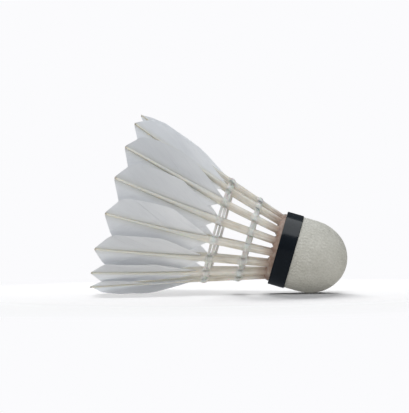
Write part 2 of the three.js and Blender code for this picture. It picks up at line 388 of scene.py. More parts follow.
def quill_material():
    m = Nodes("quill_ivory")
    u, around, which = m.attr("station"), m.attr("around"), m.attr("feather")
    lines = m.noise(m.combine(m.math("MULTIPLY", around, 4.2), m.math("MULTIPLY", u, 0.05), which), 1.0, 3.0, 0.6)
    patches = m.noise(m.combine(m.math("MULTIPLY", around, 0.5), m.math("MULTIPLY", u, 0.16), which), 1.0, 2.0, 0.5)
    tone = m.math("ADD", m.math("MULTIPLY", lines, 0.6), m.math("MULTIPLY", patches, 0.4))
    horn = m.ramp(tone, [(0.32, (0.50, 0.45, 0.375)), (0.5, (0.70, 0.665, 0.595)), (0.66, (0.84, 0.82, 0.77))])
    # in the vane the shaft keeps a pale crest between olive flanks; the darkening of the flanks is painted shade
    crest_vs_painted_flank_shade = m.math("SINE", around)
    rachis_with_painted_shade = m.ramp(m.math("ADD", m.math("MULTIPLY", crest_vs_painted_flank_shade, 0.62), m.math("MULTIPLY", lines, 0.38)), [(0.40, (0.57, 0.56, 0.50)), (0.62, (0.62, 0.61, 0.56)), (0.80, (0.67, 0.67, 0.635))])
    pale = m.mapped(u, 22.5, 31.0, 0.0, 1.0)
    colour = m.mix(pale, horn, rachis_with_painted_shade)
    root = m.mapped(m.math("ADD", u, m.math("MULTIPLY", lines, 3.0)), 2.8, 8.0, 0.75, 0.0)
    colour = m.mix(root, colour, (0.33, 0.20, 0.145))
    end = m.mapped(u, 59.2, 60.0, 0.0, 0.7)
    colour = m.mix(end, colour, (0.26, 0.24, 0.21))
    normal = m.bump(lines, 0.5, 0.00006)
    body = m.principled(Base_Color=colour, Roughness=m.mapped(tone, 0.3, 0.7, 0.34, 0.46), Normal=normal)
    body.inputs["Specular IOR Level"].default_value = 0.38
    body.inputs["Subsurface Weight"].default_value = 0.65
    body.inputs["Subsurface Radius"].default_value = (1.0, 0.85, 0.65)
    body.inputs["Subsurface Scale"].default_value = 0.0012
    body.inputs["Coat Weight"].default_value = 0.08
    body.inputs["Coat Roughness"].default_value = 0.2
    m.link(body.outputs[0], m.out.inputs["Surface"])
    return m.mat


def leather_material():
    m = Nodes("leather_offwhite")
    co = m.coord()
    cells = m.voronoi(co, 1500.0, "SMOOTH_F1")
    crease = m.voronoi(m.noise_warp(co, 500.0, 0.0012), 950.0, "DISTANCE_TO_EDGE")
    fine = m.noise(co, 3200.0, 2.0, 0.6)
    cloud = m.noise(co, 120.0, 3.0, 0.6)
    tone = m.math("ADD", m.math("MULTIPLY", cells, 0.30), m.math("ADD", m.math("MULTIPLY", fine, 0.35), m.math("MULTIPLY", cloud, 0.45)))
    colour = m.ramp(tone, [(0.30, (0.49, 0.475, 0.415)), (0.5, (0.585, 0.572, 0.513)), (0.72, (0.68, 0.667, 0.612))])
    colour = m.mix(m.mapped(m.attr("grain"), -1.0, 0.4, 0.28, 0.0), colour, (0.36, 0.345, 0.29))  # painted shade in the furrows
    h = m.math("ADD", m.math("MULTIPLY", m.mapped(crease, 0.0, 0.18, 0.0, 1.0), 0.6), m.math("MULTIPLY", fine, 0.4))
    normal = m.bump(h, 0.8, 0.00014, m.bump(cloud, 0.25, 0.0003))
    body = m.principled(Base_Color=colour, Roughness=m.mapped(fine, 0.3, 0.7, 0.46, 0.60), Normal=normal)
    body.inputs["Specular IOR Level"].default_value = 0.4
    m.link(body.outputs[0], m.out.inputs["Surface"])
    return m.mat


def ribbon_material():
    m = Nodes("ribbon_navy")
    co = m.coord()
    film = m.noise(co, 60.0, 2.0, 0.5)
    micro = m.noise(co, 2600.0, 1.0, 0.5)
    colour = m.ramp(film, [(0.35, (0.0035, 0.0055, 0.0085)), (0.65, (0.0060, 0.0090, 0.0130))])
    normal = m.bump(film, 0.06, 0.0008, m.bump(micro, 0.05, 0.00001))
    body = m.principled(Base_Color=colour, Roughness=m.mapped(micro, 0.3, 0.7, 0.13, 0.20), Normal=normal)
    body.inputs["Specular IOR Level"].default_value = 0.68
    m.link(body.outputs[0], m.out.inputs["Surface"])
    return m.mat


def thread_material():
    m = Nodes("thread_white")
    along, around, skin = m.attr("along"), m.attr("around"), m.attr("skin")
    ply = m.add("ShaderNodeTexWave", wave_type="BANDS")
    m.put(ply.inputs["Vector"], m.combine(m.math("ADD", m.math("MULTIPLY", along, 2.2), m.math("MULTIPLY", around, 1.0)), 0.0, 0.0))
    ply.inputs["Scale"].default_value = 1.0
    fuzz = m.noise(m.coord(), 2400.0, 2.0, 0.6)
    cloud = m.noise(m.coord(), 330.0, 2.0, 0.5)
    tone = m.math("ADD", m.math("MULTIPLY", ply.outputs["Fac"], 0.20), m.math("ADD", m.math("MULTIPLY", fuzz, 0.25), m.math("MULTIPLY", cloud, 0.55)))
    colour = m.ramp(tone, [(0.28, (0.60, 0.585, 0.55)), (0.5, (0.78, 0.765, 0.735)), (0.72, (0.93, 0.925, 0.905))])
    # the clear glue over a quill takes on the quill's colour
    glaze = m.ramp(cloud, [(0.3, (0.60, 0.57, 0.51)), (0.7, (0.78, 0.76, 0.71))])
    colour = m.mix(skin, colour, glaze)
    normal = m.bump(m.math("ADD", ply.outputs["Fac"], m.math("MULTIPLY", fuzz, 0.6)), 0.4, 0.00004)
    body = m.principled(Base_Color=colour, Roughness=0.45, Normal=normal)
    body.inputs["Coat Weight"].default_value = 0.35
    body.inputs["Coat Roughness"].default_value = 0.2
    body.inputs["Subsurface Weight"].default_value = 0.15
    body.inputs["Subsurface Scale"].default_value = 0.0005
    m.link(body.outputs[0], m.out.inputs["Surface"])
    return m.mat


def glue_material():
    m = Nodes("glue_set")
    co = m.coord()
    cloud = m.noise(co, 420.0, 3.0, 0.55)
    colour = m.ramp(cloud, [(0.3, (0.235, 0.145, 0.11)), (0.55, (0.36, 0.26, 0.21)), (0.75, (0.50, 0.42, 0.36))])
    normal = m.bump(cloud, 0.5, 0.0003)
    body = m.principled(Base_Color=colour, Roughness=0.32, Normal=normal)
    body.inputs["Subsurface Weight"].default_value = 0.2
    body.inputs["Subsurface Radius"].default_value = (1.0, 0.6, 0.4)
    body.inputs["Subsurface Scale"].default_value = 0.0006
    body.inputs["Coat Weight"].default_value = 0.3
    body.inputs["Coat Roughness"].default_value = 0.12
    m.link(body.outputs[0], m.out.inputs["Surface"])
    return m.mat


def cork_material():
    m = Nodes("cork_natural")
    co = m.coord()
    grain = m.voronoi(co, 1100.0, "F1")
    big = m.noise(co, 300.0, 3.0, 0.6)
    pores = m.noise(co, 1900.0, 2.0, 0.6)
    tone = m.math("ADD", m.math("MULTIPLY", big, 0.6), m.math("MULTIPLY", grain, 0.4))
    colour = m.ramp(tone, [(0.3, (0.24, 0.13, 0.065)), (0.5, (0.46, 0.29, 0.16)), (0.7, (0.62, 0.43, 0.26))])
    colour = m.mix(m.mapped(pores, 0.62, 0.72, 0.0, 0.8), colour, (0.12, 0.065, 0.035))
    normal = m.bump(m.math("ADD", grain, pores), 0.5, 0.00012)
    body = m.principled(Base_Color=colour, Roughness=0.8, Normal=normal)
    m.link(body.outputs[0], m.out.inputs["Surface"])
    return m.mat


def paper_material():
    m = Nodes("paper_plain")
    co = m.coord()
    fibre = m.noise(co, 1500.0, 3.0, 0.65)
    colour = m.ramp(fibre, [(0.3, (0.74, 0.735, 0.71)), (0.7, (0.85, 0.85, 0.83))])
    body = m.principled(Base_Color=colour, Roughness=0.75, Normal=m.bump(fibre, 0.3, 0.00004))
    m.link(body.outputs[0], m.out.inputs["Surface"])
    return m.mat


FEATHER, QUILL, LEATHER, RIBBON = feather_material(), quill_material(), leather_material(), ribbon_material()
THREAD, GLUE, CORK, PAPER = thread_material(), glue_material(), cork_material(), paper_material()

# ---------------------------------------------------------------- vanes
# width of each web from the shaft's centre line, by axial distance from the tip
LEAD_WEB = np.array([(0, 0.60), (1.2, 2.45), (2.4, 4.25), (3.4, 5.7), (4.4, 6.65), (5.6, 7.25), (7, 7.6), (9, 7.9), (12, 8.2), (16, 8.4), (19.5, 8.35), (23, 8.0), (26, 7.35), (28.5, 6.4), (30.6, 5.15), (32.5, 3.65), (34.1, 2.3), (35.4, 1.25), (40, 1.2)])
TRAIL_WEB = np.array([(0, 0.75), (1.2, 3.0), (2.4, 5.15), (3.3, 6.7), (4.2, 7.55), (5.4, 8.05), (7.5, 8.35), (10, 8.45), (16, 8.3), (20, 7.9), (24, 7.3), (28, 6.5), (30.6, 5.75), (32.8, 4.9), (34.4, 3.55), (35.5, 2.3), (36.3, 1.35), (40, 1.3)])
LEAD_RISE = np.array([(0, 0.19), (3, 0.2), (5.7, 0.225), (9, 0.3), (12, 0.315), (40, 0.315)])
BARB_PITCH = 0.40


def pchip(table, x):
    """Smooth curve through a table that never overshoots it."""
    X, Y = table[:, 0].astype(float), table[:, 1].astype(float)
    h, d = np.diff(X), np.diff(Y) / np.diff(X)
    g = np.zeros(len(X))
    g[0], g[-1] = d[0], d[-1]
    w1, w2 = 2 * h[1:] + h[:-1], h[1:] + 2 * h[:-1]
    same = d[:-1] * d[1:] > 0
    g[1:-1] = np.where(same, (w1 + w2) / np.where(same, w1 / np.where(d[:-1] == 0, 1, d[:-1]) + w2 / np.where(d[1:] == 0, 1, d[1:]), 1), 0)
    x = np.clip(np.asarray(x, float), X[0], X[-1])
    i = np.clip(np.searchsorted(X, x, side="right") - 1, 0, len(X) - 2)
    t = (x - X[i]) / h[i]
    return Y[i] * (1 + 2 * t) * (1 - t) ** 2 + h[i] * g[i] * t * (1 - t) ** 2 + Y[i + 1] * t * t * (3 - 2 * t) + h[i] * g[i + 1] * t * t * (t - 1)


def web_height(side, k, d, w):
    """How far a web stands off the plane through its shaft, outwards positive."""
    phase = 1.7 * k + (0 if side > 0 else 2.1)
    wave = 0.10 * np.sin(d * 0.33 + phase) + 0.06 * np.sin(d * 0.71 + 1.3 * phase + w * 0.25)
    wave = wave * (w / 8.0) ** 1.3
    near_tip = 1 - smooth((d - 8.0) / 14.0)
    if side > 0:
        rise = np.interp(d, LEAD_RISE[:, 0], LEAD_RISE[:, 1]) + TWIST[k] + TIP_SLOPE_LEAD.get(k, 0) * near_tip
        return rise * w - 0.0047 * w * w + wave
    return (-0.215 - TWIST[k] + TIP_SLOPE_TRAIL.get(k, 0) * near_tip) * w - 0.0047 * w * w + wave


def web(k, side):
    """One web as closed shells of barbs: rows follow the barbs, with a ridge on each barb and a groove between."""
    r = np.random.default_rng(1000 + 2 * k + (side > 0))
    table = LEAD_WEB if side > 0 else TRAIL_WEB
    factor = LEAD_F[k] if side > 0 else TRAIL_F[k]
    base = 35.8 + LOW_LEAD[k] if side > 0 else 35.9
    shift = LOW_LEAD[k] if side > 0 else 0.0
    lean0, curve = (1.75, 0.030) if side > 0 else (1.05, 0.050)  # mm towards the tip per mm outwards, and its growth

    def outline(d):
        return factor * pchip(table, d - shift * smooth((d - 16) / 10.0))

    count = int(base / BARB_PITCH)
    roots = np.linspace(base, 0.12, 2 * count + 1)  # ridge and groove rows
    cols = 11
    ends = np.zeros(len(roots))
    w0 = lambda d: 0.80 * shaft_w(TIP - d)
    for n, d0 in enumerate(roots):
        start = float(w0(d0))
        lo, hi = start, start
        step = 0.2
        while True:  # walk out along the barb until it leaves the outline
            hi = lo + step
            x = hi - start
            d = d0 - lean0 * x - curve * x * x
            if d <= 0 or hi > outline(d):
                break
            lo = hi
        for _ in range(18):
            mid = (lo + hi) / 2
            x = mid - start
            d = d0 - lean0 * x - curve * x * x
            if d <= 0 or mid > outline(d):
                hi = mid
            else:
                lo = mid
        ends[n] = lo
    # barbs end a little unevenly along the natural edge, cleanly along the cut one
    dist = ends - w0(roots)
    ragged = r.normal(0, 1, len(roots))
    ragged = np.convolve(ragged, [0.25, 0.5, 0.25], "same") * 0.05
    natural = smooth((roots - lean0 * dist - 5.0) / 3.0)
    ends = ends + ragged * natural * np.clip(dist / 3, 0, 1)
    s = np.linspace(0, 1, cols) ** 0.92
    start = w0(roots)
    W = start[:, None] + (ends - start)[:, None] * s
    X = W - start[:, None]
    D = roots[:, None] - lean0 * X - curve * X * X
    D = np.maximum(D, 0.02)
    # a few narrow splits, where neighbouring barbs have let go of each other
    splits = sorted(int(v) * 2 for v in r.choice(np.arange(8, count - 10), 2 if side > 0 else 3, replace=False))
    cuts = [0] + [c for c in splits if True] + [len(roots) - 1]
    parts, A = [], {"barb": [], "across": [], "along": []}
    for a, b in zip(cuts[:-1], cuts[1:]):
        if b - a < 2:
            continue
        rows = np.arange(a, b + 1)
        d, w = D[rows].copy(), W[rows].copy()
        open_ = np.clip((w - 2.0) / 6.0, 0, 1) ** 1.6
        if a != 0:
            d[0] -= (0.012 + float(r.uniform(0.05, 0.16)) * open_[0])
        if b != len(roots) - 1:
            d[-1] += (0.012 + float(r.uniform(0.05, 0.16)) * open_[-1])
        d = np.maximum(d, 0.02)
        lift = float(r.uniform(-0.05, 0.05))
        q = web_height(side, k, d, w) + lift * open_
        ridge = (rows % 2 == 1)[:, None]
        half = np.where(ridge, 0.095, 0.052) * (1 - 0.45 * s[None, :] ** 2)
        half = half * (0.55 + 0.45 * np.clip(X[rows] / 0.6, 0, 1))
        u = TIP + 0.0 - d
        u = u + TIP_LONG[k] * smooth((u - 40) / 20.0)
        top = place(k, u, side * w, q + half)
        bottom = place(k, u, side * w, q - half)
        part = shell(top, bottom)
        parts.append(outward(part))
        barb = np.repeat((rows / 2.0)[:, None], cols, 1)
        for key, val in (("barb", barb), ("across", w), ("along", d)):
            A[key] += [val.ravel(), val.ravel()]
    return parts, {key: np.concatenate(val) for key, val in A.items()}


def vane(k):
    name = f"feather_{k + 1:02d}_vane"
    lead, a = web(k, 1)
    trail, b = web(k, -1)
    attributes = {key: np.concatenate([a[key], b[key] + (200 if key == "barb" else 0)]) for key in a}
    attributes["feather"] = np.full(len(attributes["barb"]), k * 7.31)
    # per-web tone, which carries painted shade and painted light for the first eight feathers
    attributes["tone"] = np.concatenate([np.full(len(a["barb"]), LEAD_TONE_AND_SHADE[k]), np.full(len(b["barb"]), TRAIL_TONE_AND_LIGHT[k])])
    make(name, join(lead + trail), FEATHER, sharp=60, attributes=attributes)


# ---------------------------------------------------------------- shafts
def shaft(k):
    name = f"feather_{k + 1:02d}_shaft"
    r = np.random.default_rng(500 + k)
    sides = 36
    u = np.concatenate([np.linspace(ROOT, -1, 8), np.linspace(0, 24, 34), np.linspace(24.8, TIP + 0.15, 46)])
    a = (np.arange(sides) + 0.5) / sides * 2 * np.pi
    hw, hd = shaft_w(u)[:, None], shaft_d(u)[:, None]
    # round at the quill, flatter-sided with a ventral groove where the barbs grow
    blade = smooth((u - 21.0) / 9.0)[:, None]
    n = 2.0 + 0.9 * blade
    ca, sa = np.cos(a)[None, :], np.sin(a)[None, :]
    x = np.sign(ca) * np.abs(ca) ** (2 / n)
    y = np.sign(sa) * np.abs(sa) ** (2 / n)
    y = np.where(y > 0, y * (1 - 0.10 * blade), y)
    y = y + 0.30 * blade * np.exp(-((x / 0.34) ** 2)) * (y < 0)
    taper = 1 - 0.18 * smooth((u - TIP + 1.6) / 1.75)[:, None]
    ribs = np.convolve(np.tile(r.normal(0, 1, sides), 3), [0.3, 0.4, 0.3], "same")[sides : 2 * sides]
    slow = 1 + 0.010 * np.sin(u * 0.35 + k)[:, None]
    grow = 1 + 0.013 * ribs[None, :] * (0.6 + 0.4 * np.sin(u * 0.12 + 2 * k)[:, None])
    p = hw * x * grow * slow * taper
    q = hd * y * grow * slow * taper
    uu = u + TIP_LONG[k] * smooth((u - 40) / 20.0)
    # the end is cut on the slant, lower on the inner side
    uu = uu[:, None] + 0 * p
    uu = uu - smooth((u - TIP + 1.0) / 1.15)[:, None] * 0.12 * (1 - y) * 0.5
    rings = place(k, uu, p, q)
    part = outward(tube(rings))
    st = np.concatenate([np.repeat(u[:, None], sides, 1).ravel(), [u[0], u[-1]]])
    ar = np.concatenate([np.repeat(a[None, :], len(u), 0).ravel(), [0, 0]])
    make(
        name, part, QUILL, sharp=60,
        attributes={"station": st, "around": ar, "feather": np.full(len(st), k * 3.7)},
    )


for k in range(FEATHERS):
    shaft(k)
    vane(k)


# ---------------------------------------------------------------- thread rings
def rope(path, out, radius, phase, twist=3.4, sides=8, flat=1.0):
    """A two-ply thread along a closed path; out is the direction away from the axis at each point."""
    t = np.roll(path, -1, 0) - np.roll(path, 1, 0)
    t /= np.linalg.norm(t, axis=1)[:, None]
    n = out - (out * t).sum(1)[:, None] * t
    n /= np.linalg.norm(n, axis=1)[:, None]
    b = np.cross(t, n)
    seg = np.linalg.norm(np.roll(path, -1, 0) - path, axis=1)
    length = np.concatenate([[0], np.cumsum(seg)[:-1]])
    total = seg.sum()
    turns = max(1, round(total * twist / (2 * np.pi)))
    a = np.arange(sides) / sides * 2 * np.pi
    spin = length / total * turns * 2 * np.pi
    rr = radius * (1 + 0.16 * np.cos(2 * (a[None, :] - 0.5 * spin[:, None] * 2 / 2) + phase))
    rings = path[:, None] + rr[..., None] * (flat * np.cos(a)[None, :, None] * n[:, None] + np.sin(a)[None, :, None] * b[:, None])
    v, q, tri = outward(tube(rings, closed=True))
    return (v, q, tri), np.repeat(length[:, None], sides, 1).ravel(), np.repeat(a[None, :], len(path), 0).ravel()


def ring_path(station, axial, level, side, lift):
    """Closed path over the outer (side 1) or inner (side -1) faces of all quills. axial(tau) is the offset along the shuttle."""
    pts, outs = [], []
    hw, hd = float(shaft_w(station)), float(shaft_d(station))
    arc = np.radians(np.linspace(158, 22, 11))
    for k in range(FEATHERS):
        th = quill_theta(station, k)
        for n, a in enumerate(arc):
            x = (n / (len(arc) - 1) - 0.5) * 0.42
            off = axial(k, x)
            u = station + off
            p, q = (hw + level) * math.cos(a), side * (hd + level + lift * math.exp(-((x / 0.12) ** 2))) * math.sin(a)
            pts.append(place(k, u, -(-p), q))  # from the leading side over to the trailing side
            outs.append((0, -math.sin(th), math.cos(th)))
        # straight across the gap, drawn in towards the middle of the binding
        last, th2 = pts[-1], quill_theta(station, (k + 1) % FEATHERS)
        pts_gap = []
        k2 = (k + 1) % FEATHERS
        a = arc[0]
        nxt = place(k2, station + axial(k2, -0.21), (hw + level) * math.cos(a) * -1 * -1, side * (hd + level) * math.sin(a))
        for f in np.linspace(0, 1, 7)[1:-1]:
            mid = last * (1 - f) + nxt * f
            thm = th + f * ((22.5 / 180 * math.pi))
            o = np.array((0, -math.sin(thm), math.cos(thm)))
            pull = -side * 0.30 * math.sin(math.pi * f)
            mid = mid + o * pull
            mid[0] = -(station + axial(k, 0.21 + f * 0.58))
            pts_gap.append(mid)
            outs.append(o)
        pts += pts_gap
    return np.array(pts), np.array(outs, float) * side


def thread_ring(name, station, offset, seed):
    r = np.random.default_rng(seed)
    parts, along, around, skin = [], [], [], []

    def add(res, value=0.0):
        parts.append(res[0])
        along.append(res[1])
        around.append(res[2])
        skin.append(np.full(len(res[1]), value))

    gauge = 0.165  # thread radius
    pitch = 0.30
    for side in (1, -1):
        for ribbon in (0, 1):
            for strand in (-1, 0, 1):
                wob = r.uniform(-0.05, 0.05, FEATHERS)

                def axial(k, x, ribbon=ribbon, strand=strand, wob=wob):
                    # the two ribbons change places on every quill, which makes the crosses
                    sign = 1 if (k + ribbon) % 2 == 0 else -1
                    kk = k
                    if x > 0.5:  # beyond the middle of the gap: already on the next quill's count
                        kk = (k + 1) % FEATHERS
                        x, sign = x - 1.0, -sign
                    swap = -math.tanh(x / 0.12)
                    return offset * sign * swap + strand * pitch + wob[kk] * math.exp(-((x / 0.3) ** 2))

                lift = 0.15 if ribbon == 0 else 0.0
                path, outs = ring_path(station, axial, gauge + 0.02, side, lift)
                add(rope(path, outs, gauge, r.uniform(0, 6), flat=0.86))
    # hitches round each quill and a skin of glue that holds the binding
    hw, hd = float(shaft_w(station)), float(shaft_d(station))
    for k in range(FEATHERS):
        th = quill_theta(station, k)
        for off in (-0.62, 0.0, 0.58):
            a = np.linspace(0, 2 * np.pi, 30, endpoint=False)
            slant = 0.24 * np.sin(a + r.uniform(0, 6))
            path = place(k, station + off + slant, (hw + 0.06) * np.cos(a), (hd + 0.06) * np.sin(a))
            o = np.array((0, -math.sin(th), math.cos(th)))
            t = np.array((0, math.cos(th), math.sin(th)))
            outs = np.cos(a)[:, None] * t + np.sin(a)[:, None] * o
            add(rope(path, outs, 0.12, r.uniform(0, 6), sides=6), 0.45)
        half = 1.35 + 0.25 * r.random()
        st = np.linspace(-half, half, 15)
        a = (np.arange(28) + 0.5) / 28 * 2 * np.pi
        prof = 0.012 + 0.075 * np.sqrt(np.clip(1 - (st / half) ** 4, 0, 1))
        lump = 1 + 0.3 * np.sin(3 * a[None, :] + 5 * k) * np.sin(2.2 * st[:, None] + k)
        gr = prof[:, None] * lump
        rings = place(k, station + st[:, None] + 0 * gr, (hw + gr) * np.cos(a), (hd + gr) * np.sin(a))
        part = outward(tube(rings))
        n = len(part[0])
        add((part, np.zeros(n), np.zeros(n)), 1.0)
    make(
        name, join(parts), THREAD,
        attributes={"along": np.concatenate(along), "around": np.concatenate(around), "skin": np.concatenate(skin)},
    )


thread_ring("thread_ring_lower", RING_LOWER, 0.46, 31)
thread_ring("thread_ring_upper", RING_UPPER, 0.64, 32)


# ---------------------------------------------------------------- cork end
def dome_profile(r, shrink, top, steps, rows=40):
    """(distance below the cork's top face, radius) down the side and over the dome to the nose."""
    side = np.concatenate([np.linspace(top, BAND_W - 0.3, 8)[:-1], np.linspace(BAND_W - 0.3, DOME_START, rows)])
    t = np.sin(np.linspace(0, 1, steps + 1)[1:] * np.pi / 2)
    x = DOME_START + t * (DOME_H - shrink)
    rr = r * np.sqrt(np.clip(1 - t**2.06, 0, 1))
    return np.concatenate([side, x]), np.concatenate([np.full(len(side), r), rr])


def leather():
    x, r = dome_profile(CORK_R, 0, 0.1, 92)
    x, r = x[:-1], r[:-1]
    n = 400
    th = np.arange(n) / n * 2 * np.pi
    X, TH = np.meshgrid(x, th, indexing="ij")
    R = np.repeat(r[:, None], n, 1)
    # the skin follows the cork's slight unevenness, and shows a fine pebble
    lump = 0.030 * np.sin(2 * TH + 0.4 * X) + 0.022 * np.sin(5 * TH - 0.5 * X + 1) + 0.018 * np.sin(0.9 * X + 3 * TH)
    bend = 1.5 * np.sin(0.9 * X + 3 * TH) + 1.1 * np.sin(2.3 * X + 1.4 * np.sin(5 * TH) + 1) + 0.5 * np.sin(4.1 * X - 7 * TH)
    patchy = 0.6 + 0.4 * np.sin(1.9 * X + 9 * TH + 1.2 * np.sin(1.1 * X))
    crinkle = 0.060 * np.sin(62 * TH + bend) * patchy * (0.35 + 0.65 * smooth((22.0 - X) / 14.0))
    pebble = 0.014 * (np.sin(41 * TH + 5.1 * X) * np.sin(37 * TH - 6.3 * X + 0.7) + 0.7 * np.sin(63 * TH + 2.9 * X + 2) * np.sin(7.7 * X + 1.1 * np.sin(9 * TH)))
    fade = np.clip(R / 5.0, 0, 1)
    under = smooth((X - BAND_W) / 0.8)  # nothing stands up under the band
    # depth of the crinkle, which also sets the painted shade in the furrows
    grain = np.clip(crinkle / 0.05, -1, 1) * fade * under
    R2 = R + (lump * 0.8 + pebble + crinkle) * fade * under - 0.03 * under
    outer = np.stack([X, -R2 * np.sin(TH), R2 * np.cos(TH)], -1)
    xi, ri = dome_profile(CORK_R - LEATHER_T, LEATHER_T, 0.1, 16, 4)
    xi, ri = xi[:-1], ri[:-1]
    XI, THI = np.meshgrid(xi, th, indexing="ij")
    RI = np.repeat(ri[:, None], n, 1)
    inner = np.stack([XI, -RI * np.sin(THI), RI * np.cos(THI)], -1)
    # one closed skin: rolled top edge, outer side, nose; inner side, inner nose
    m1, m2 = len(x), len(xi)
    lip = np.stack([np.full(n, 0.04), -(CORK_R - 0.25) * np.sin(th), (CORK_R - 0.25) * np.cos(th)], -1)[None]
    v = np.concatenate([inner[::-1].reshape(-1, 3), lip.reshape(-1, 3), outer.reshape(-1, 3)])
    m = m1 + m2 + 1
    q = grid_faces(m, n, wrap=True)
    tip_in, tip_out = len(v), len(v) + 1
    v = np.concatenate([v, [[DOME_START + DOME_H - LEATHER_T, 0, 0]], [[DOME_START + DOME_H - 0.01, 0, 0]]])
    i = np.arange(n)
    t = np.concatenate([np.stack([(i + 1) % n, i, np.full(n, tip_in)], -1), np.stack([(m - 1) * n + i, (m - 1) * n + (i + 1) % n, np.full(n, tip_out)], -1)])
    # the grain attribute carries the painted shade in the furrows
    attributes = {"grain": np.concatenate([np.zeros(m2 * n + n), grain.ravel(), [0, 0]])}
    make("leather_cover", outward((v, q, t)), LEATHER, sharp=50, attributes=attributes)


def band():
    n = 288
    th = np.arange(n) / n * 2 * np.pi
    seam = math.radians(248)
    lap = math.radians(17)
    d = (th - seam) % (2 * np.pi)
    over = 0.075 * (smooth(d / math.radians(1.3)) * (d < lap) * 1.0) * smooth((lap - d) / math.radians(7))
    prof = [(0.02, -0.34), (0.0, -0.10), (0.05, -0.035), (0.16, 0.0), (0.9, 0.0), (2.0, 0.012), (3.1, 0.0), (4.3, 0.010), (5.2, 0.0), (5.84, 0.0), (5.95, -0.035), (6.0, -0.10), (5.98, -0.34)]
    rings = []
    for n_, (x, dr) in enumerate(prof):
        free = 1.0 if dr > -0.2 else 0.0
        wave = 0.012 * np.sin(3 * th + 0.9 * x) + 0.008 * np.sin(7 * th - 1.1 * x)
        r = BAND_R - 0.02 + dr + free * (over + wave)
        xx = x + 0.03 * np.sin(2 * th + 0.7) * (x > 3)
        rings.append(np.stack([np.broadcast_to(xx, r.shape), -r * np.sin(th), r * np.cos(th)], -1))
    part = outward(tube(np.array(rings).transpose(0, 1, 2), closed=True))
    make("ribbon_band", part, RIBBON, sharp=40)


def label():
    n = 160
    th = np.arange(n) / n * 2 * np.pi
    rows = []
    for x, r in [(-0.055, 1.2), (-0.055, 7.45), (-0.08, LABEL_R), (-0.20, LABEL_R), (-0.245, 7.52), (-0.25, 7.2), (-0.25, 4.2), (-0.25, 1.2)]:
        edge = 0.025 * np.sin(5 * th + 1) * (r > 7)
        rows.append(np.stack([np.full(n, x) - edge * (x < -0.1) * 0.4, -r * np.sin(th), r * np.cos(th)], -1))
    make("top_label", outward(tube(np.array(rows))), PAPER, sharp=40)


def glue():
    """A low bead of set adhesive that climbs each quill root."""
    n, m = 512, 30
    th = np.arange(n + 1) / n * 2 * np.pi
    rho = np.linspace(8.45, 12.42, m)
    RHO, TH = np.meshgrid(rho, th, indexing="ij")
    y, z = -RHO * np.sin(TH), RHO * np.cos(TH)
    near = np.full(RHO.shape, 1e9)
    for k in range(FEATHERS):
        t = quill_theta(0.6, k)
        c = ROOT_R + STEM * 0.6
        near = np.minimum(near, np.hypot(y + c * np.sin(t), z - c * np.cos(t)))
    wobble = 0.10 * np.sin(9 * TH + 1) + 0.08 * np.sin(23 * TH + 2.2)
    f = (RHO - 8.45) / (12.42 - 8.45)
    edge = np.sqrt(np.clip(1 - (2 * f - 1) ** 4, 0, 1))
    h = edge * (1.35 + 1.0 * wobble + 0.9 * np.exp(-np.maximum(0, near - 1.30) / 0.6))
    h = np.maximum(h, 0.02)
    h[:, -1] = h[:, 0]
    top = np.stack([-(0.05 + h), y, z], -1)
    bottom = np.stack([np.full(RHO.shape, -0.05 + 0.01), y, z], -1)
    top, bottom = top[:, :-1], bottom[:, :-1]
    # a ring-shaped closed shell: inner wall, top, outer wall, bottom
    rings = np.concatenate([bottom[:1], top, bottom[::-1][: m - 1]])
    v, q, t = tube(rings, closed=True)
    make("glue_ring", outward((v, q, t)), GLUE, sharp=70)


leather()
band()
label()
glue()

core = frame["nodes"]["cork_core"]
core.data.materials.clear()
core.data.materials.append(CORK)

# ---------------------------------------------------------------- floor, light, camera
WHITE = (0.965, 0.965, 0.982)


